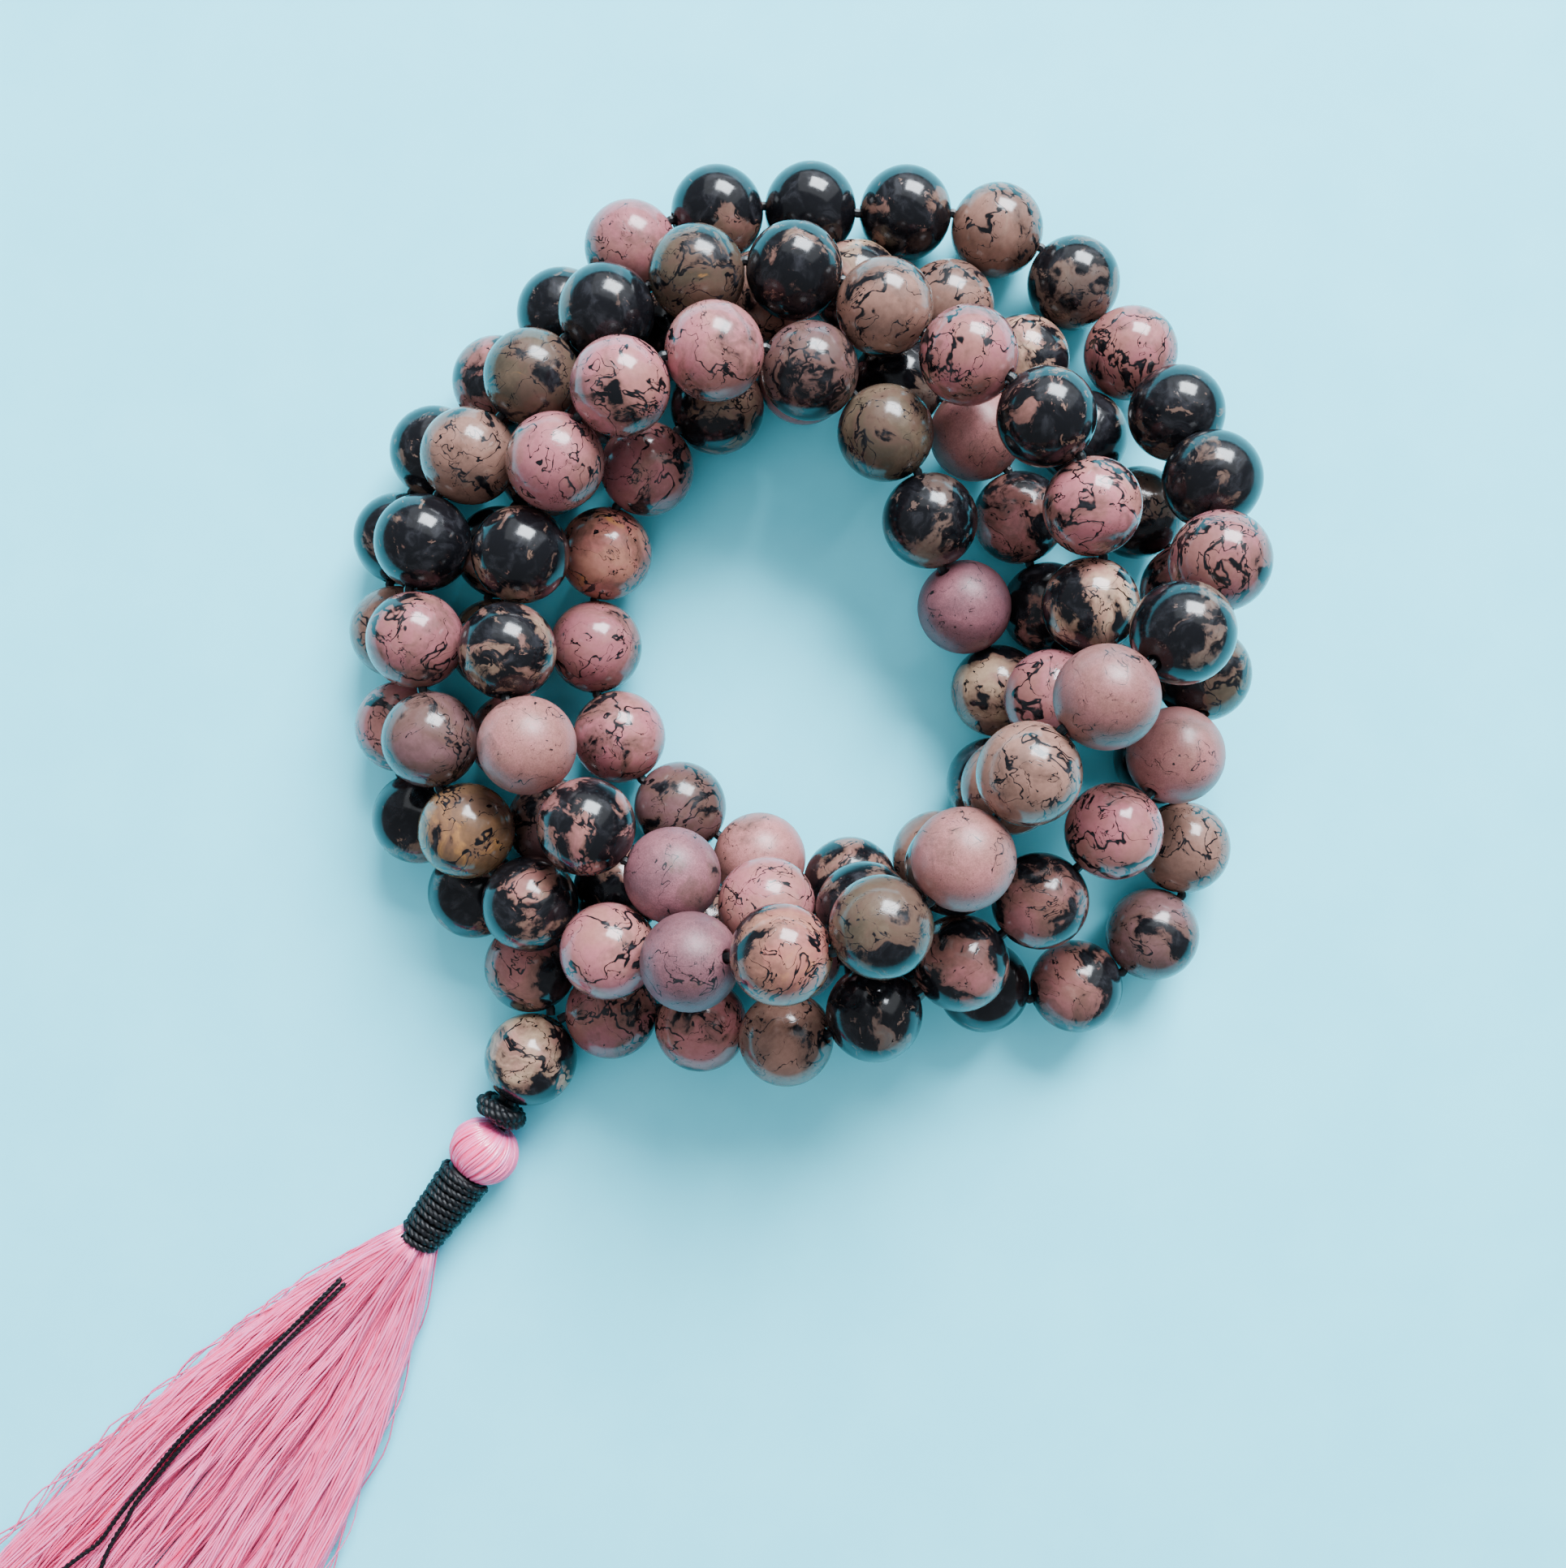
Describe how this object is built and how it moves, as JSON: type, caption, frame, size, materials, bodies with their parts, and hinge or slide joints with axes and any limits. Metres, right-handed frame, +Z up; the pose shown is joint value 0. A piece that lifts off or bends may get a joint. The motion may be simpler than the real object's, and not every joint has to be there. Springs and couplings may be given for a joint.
{
  "type": "prayer beads",
  "caption": "Strand of mottled round stone prayer beads, loosely coiled, with a guru bead, a knotted and wrapped cord, and a silk tassel.",
  "frame": {"origin": "centre of the loose coil, on the surface that the strand lies on", "axes": "+Z up from that surface; the tassel leaves the coil towards -X and -Y, level with the surface"},
  "size_m": [0.1176, 0.1493, 0.0278],
  "materials": {
    "stone": "polished",
    "cord": "waxed",
    "wrap_cord": "waxed",
    "silk": "silky"
  },
  "bodies": {
    "strand": {"strand_cord": "cord", "low_beads_1": "stone", "low_beads_2": "stone", "low_beads_3": "stone", "low_beads_4": "stone"},
    "bead_18": {"bead_18": "stone"},
    "bead_19": {"bead_19": "stone"},
    "bead_20": {"bead_20": "stone"},
    "bead_21": {"bead_21": "stone"},
    "bead_22": {"bead_22": "stone"},
    "bead_23": {"bead_23": "stone"},
    "bead_24": {"bead_24": "stone"},
    "bead_25": {"bead_25": "stone"},
    "bead_26": {"bead_26": "stone"},
    "bead_27": {"bead_27": "stone"},
    "bead_28": {"bead_28": "stone"},
    "bead_29": {"bead_29": "stone"},
    "bead_30": {"bead_30": "stone"},
    "bead_31": {"bead_31": "stone"},
    "bead_32": {"bead_32": "stone"},
    "bead_33": {"bead_33": "stone"},
    "bead_34": {"bead_34": "stone"},
    "bead_35": {"bead_35": "stone"},
    "bead_36": {"bead_36": "stone"},
    "bead_37": {"bead_37": "stone"},
    "bead_38": {"bead_38": "stone"},
    "bead_39": {"bead_39": "stone"},
    "bead_40": {"bead_40": "stone"},
    "bead_41": {"bead_41": "stone"},
    "bead_42": {"bead_42": "stone"},
    "bead_43": {"bead_43": "stone"},
    "bead_44": {"bead_44": "stone"},
    "bead_45": {"bead_45": "stone"},
    "bead_46": {"bead_46": "stone"},
    "bead_47": {"bead_47": "stone"},
    "bead_48": {"bead_48": "stone"},
    "bead_49": {"bead_49": "stone"},
    "bead_50": {"bead_50": "stone"},
    "bead_51": {"bead_51": "stone"},
    "bead_52": {"bead_52": "stone"},
    "bead_53": {"bead_53": "stone"},
    "bead_54": {"bead_54": "stone"},
    "bead_55": {"bead_55": "stone"},
    "bead_56": {"bead_56": "stone"},
    "bead_101": {"bead_101": "stone"},
    "bead_102": {"bead_102": "stone"},
    "bead_103": {"bead_103": "stone"},
    "bead_104": {"bead_104": "stone"},
    "bead_105": {"bead_105": "stone"},
    "guru_link": {"guru_cord": "cord", "guru_knot": "wrap_cord"},
    "guru_bead": {"guru_bead": "stone"},
    "tassel_link": {"tassel_loop": "cord"},
    "tassel": {"tassel_head": "silk", "tassel_wrap": "wrap_cord", "tassel_skirt": "silk", "cord_tail_left": "cord", "cord_tail_right": "cord"}
  },
  "joints": [
    {"name": "turn_bead_18", "type": "hinge", "parent": "strand", "child": "bead_18", "pos_m": [0.03262, 0.01254, 0.01435], "axis": [0.167, -0.8875, 0.4295], "continuous": true},
    {"name": "turn_bead_19", "type": "hinge", "parent": "strand", "child": "bead_19", "pos_m": [0.03219, 0.00544, 0.01821], "axis": [-0.2709, -0.823, 0.4993], "continuous": true},
    {"name": "turn_bead_20", "type": "hinge", "parent": "strand", "child": "bead_20", "pos_m": [0.02829, -0.00053, 0.02206], "axis": [-0.6658, -0.6116, 0.4274], "continuous": true},
    {"name": "turn_bead_21", "type": "hinge", "parent": "strand", "child": "bead_21", "pos_m": [0.02217, -0.00551, 0.02385], "axis": [-0.8086, -0.5884, 0.0012], "continuous": true},
    {"name": "turn_bead_22", "type": "hinge", "parent": "strand", "child": "bead_22", "pos_m": [0.01655, -0.01122, 0.02263], "axis": [-0.5434, -0.7865, -0.2935], "continuous": true},
    {"name": "turn_bead_23", "type": "hinge", "parent": "strand", "child": "bead_23", "pos_m": [0.01171, -0.01771, 0.02179], "axis": [-0.6244, -0.7759, 0.0897], "continuous": true},
    {"name": "turn_bead_24", "type": "hinge", "parent": "strand", "child": "bead_24", "pos_m": [0.00547, -0.02288, 0.02172], "axis": [-0.8766, -0.4695, -0.1057], "continuous": true},
    {"name": "turn_bead_25", "type": "hinge", "parent": "strand", "child": "bead_25", "pos_m": [-0.00214, -0.02513, 0.02013], "axis": [-0.9579, -0.0732, -0.2775], "continuous": true},
    {"name": "turn_bead_26", "type": "hinge", "parent": "strand", "child": "bead_26", "pos_m": [-0.00938, -0.02609, 0.01649], "axis": [-0.7845, -0.1573, -0.5998], "continuous": true},
    {"name": "turn_bead_27", "type": "hinge", "parent": "strand", "child": "bead_27", "pos_m": [-0.0163, -0.02569, 0.01229], "axis": [-0.8776, 0.2531, -0.4071], "continuous": true},
    {"name": "turn_bead_28", "type": "hinge", "parent": "strand", "child": "bead_28", "pos_m": [-0.02311, -0.02201, 0.00996], "axis": [-0.7592, 0.6323, -0.1546], "continuous": true},
    {"name": "turn_bead_29", "type": "hinge", "parent": "strand", "child": "bead_29", "pos_m": [-0.0284, -0.01589, 0.01001], "axis": [-0.5148, 0.8409, 0.1672], "continuous": true},
    {"name": "turn_bead_30", "type": "hinge", "parent": "strand", "child": "bead_30", "pos_m": [-0.03117, -0.0083, 0.01101], "axis": [-0.1507, 0.9858, 0.074], "continuous": true},
    {"name": "turn_bead_31", "type": "hinge", "parent": "strand", "child": "bead_31", "pos_m": [-0.03235, -0.0001, 0.01137], "axis": [-0.134, 0.9909, 0.0122], "continuous": true},
    {"name": "turn_bead_32", "type": "hinge", "parent": "strand", "child": "bead_32", "pos_m": [-0.03176, 0.00799, 0.01112], "axis": [0.2745, 0.9588, -0.0727], "continuous": true},
    {"name": "turn_bead_33", "type": "hinge", "parent": "strand", "child": "bead_33", "pos_m": [-0.02797, 0.01515, 0.01108], "axis": [0.6397, 0.766, 0.0632], "continuous": true},
    {"name": "turn_bead_34", "type": "hinge", "parent": "strand", "child": "bead_34", "pos_m": [-0.02266, 0.02152, 0.01152], "axis": [0.6385, 0.7684, 0.0433], "continuous": true},
    {"name": "turn_bead_35", "type": "hinge", "parent": "strand", "child": "bead_35", "pos_m": [-0.01658, 0.027, 0.01123], "axis": [0.8268, 0.5508, -0.1141], "continuous": true},
    {"name": "turn_bead_36", "type": "hinge", "parent": "strand", "child": "bead_36", "pos_m": [-0.00913, 0.0302, 0.01122], "axis": [0.969, 0.2201, 0.1126], "continuous": true},
    {"name": "turn_bead_37", "type": "hinge", "parent": "strand", "child": "bead_37", "pos_m": [-0.00105, 0.03026, 0.01181], "axis": [0.978, -0.2062, 0.0302], "continuous": true},
    {"name": "turn_bead_38", "type": "hinge", "parent": "strand", "child": "bead_38", "pos_m": [0.00633, 0.027, 0.01263], "axis": [0.7995, -0.577, 0.1668], "continuous": true},
    {"name": "turn_bead_39", "type": "hinge", "parent": "strand", "child": "bead_39", "pos_m": [0.01292, 0.02247, 0.01475], "axis": [0.7862, -0.5138, 0.3435], "continuous": true},
    {"name": "turn_bead_40", "type": "hinge", "parent": "strand", "child": "bead_40", "pos_m": [0.01898, 0.01727, 0.01594], "axis": [0.6726, -0.7378, -0.0568], "continuous": true},
    {"name": "turn_bead_41", "type": "hinge", "parent": "strand", "child": "bead_41", "pos_m": [0.02294, 0.01038, 0.01445], "axis": [0.2776, -0.9126, -0.3003], "continuous": true},
    {"name": "turn_bead_42", "type": "hinge", "parent": "strand", "child": "bead_42", "pos_m": [0.02322, 0.00261, 0.01219], "axis": [-0.21, -0.9475, -0.2412], "continuous": true},
    {"name": "turn_bead_43", "type": "hinge", "parent": "strand", "child": "bead_43", "pos_m": [0.02021, -0.00486, 0.01153], "axis": [-0.5189, -0.8506, 0.0853], "continuous": true},
    {"name": "turn_bead_44", "type": "hinge", "parent": "strand", "child": "bead_44", "pos_m": [0.01654, -0.01219, 0.01268], "axis": [-0.3638, -0.9119, 0.1901], "continuous": true},
    {"name": "turn_bead_45", "type": "hinge", "parent": "strand", "child": "bead_45", "pos_m": [0.01185, -0.01871, 0.01375], "axis": [-0.7579, -0.6489, 0.0667], "continuous": true},
    {"name": "turn_bead_46", "type": "hinge", "parent": "strand", "child": "bead_46", "pos_m": [0.00461, -0.02225, 0.01368], "axis": [-0.9765, -0.1989, -0.0833], "continuous": true},
    {"name": "turn_bead_47", "type": "hinge", "parent": "strand", "child": "bead_47", "pos_m": [-0.00334, -0.02192, 0.01234], "axis": [-0.9304, 0.2774, -0.2396], "continuous": true},
    {"name": "turn_bead_48", "type": "hinge", "parent": "strand", "child": "bead_48", "pos_m": [-0.01109, -0.0195, 0.0121], "axis": [-0.9337, 0.3061, 0.1859], "continuous": true},
    {"name": "turn_bead_49", "type": "hinge", "parent": "strand", "child": "bead_49", "pos_m": [-0.01794, -0.01546, 0.01371], "axis": [-0.7177, 0.6671, 0.1999], "continuous": true},
    {"name": "turn_bead_50", "type": "hinge", "parent": "strand", "child": "bead_50", "pos_m": [-0.02264, -0.0089, 0.01435], "axis": [-0.4128, 0.9098, -0.0435], "continuous": true},
    {"name": "turn_bead_51", "type": "hinge", "parent": "strand", "child": "bead_51", "pos_m": [-0.02448, -0.00114, 0.01297], "axis": [-0.0285, 0.9568, -0.2895], "continuous": true},
    {"name": "turn_bead_52", "type": "hinge", "parent": "strand", "child": "bead_52", "pos_m": [-0.02355, 0.00685, 0.01202], "axis": [0.2519, 0.9659, 0.0596], "continuous": true},
    {"name": "turn_bead_53", "type": "hinge", "parent": "strand", "child": "bead_53", "pos_m": [-0.02045, 0.0141, 0.0139], "axis": [0.4934, 0.7765, 0.392], "continuous": true},
    {"name": "turn_bead_54", "type": "hinge", "parent": "strand", "child": "bead_54", "pos_m": [-0.01498, 0.01971, 0.01581], "axis": [0.819, 0.5697, 0.0685], "continuous": true},
    {"name": "turn_bead_55", "type": "hinge", "parent": "strand", "child": "bead_55", "pos_m": [-0.0075, 0.02268, 0.01516], "axis": [0.9645, 0.1403, -0.2235], "continuous": true},
    {"name": "turn_bead_56", "type": "hinge", "parent": "strand", "child": "bead_56", "pos_m": [0.00018, 0.02174, 0.01281], "axis": [0.867, -0.3674, -0.3367], "continuous": true},
    {"name": "turn_bead_101", "type": "hinge", "parent": "strand", "child": "bead_101", "pos_m": [0.03021, -0.00963, 0.01207], "axis": [-0.5694, -0.7768, 0.2691], "continuous": true},
    {"name": "turn_bead_102", "type": "hinge", "parent": "strand", "child": "bead_102", "pos_m": [0.02504, -0.01586, 0.01255], "axis": [-0.6755, -0.721, -0.1545], "continuous": true},
    {"name": "turn_bead_103", "type": "hinge", "parent": "strand", "child": "bead_103", "pos_m": [0.01915, -0.02162, 0.01174], "axis": [-0.7442, -0.6667, -0.0402], "continuous": true},
    {"name": "turn_bead_104", "type": "hinge", "parent": "strand", "child": "bead_104", "pos_m": [0.01263, -0.02673, 0.01172], "axis": [-0.826, -0.5626, 0.0355], "continuous": true},
    {"name": "turn_bead_105", "type": "hinge", "parent": "strand", "child": "bead_105", "pos_m": [0.00552, -0.03094, 0.01131], "axis": [-0.882, -0.4517, -0.134], "continuous": true},
    {"name": "tassel_lift", "type": "hinge", "parent": "strand", "child": "guru_link", "pos_m": [-0.024, -0.036, 0.004], "axis": [-0.866, 0.5, 0], "range_deg": [0, 80]},
    {"name": "guru_turn", "type": "hinge", "parent": "guru_link", "child": "guru_bead", "pos_m": [-0.024, -0.036, 0.004], "axis": [-0.5, -0.866, 0], "continuous": true},
    {"name": "tassel_swing", "type": "hinge", "parent": "guru_link", "child": "tassel_link", "pos_m": [-0.02646, -0.04188, 0.0032], "axis": [0, 0, 1], "range_deg": [-15, 15]},
    {"name": "tassel_twist", "type": "hinge", "parent": "tassel_link", "child": "tassel", "pos_m": [-0.0282, -0.0442, 0.0032], "axis": [-0.6, -0.8, 0], "range_deg": [-90, 90]}
  ]
}
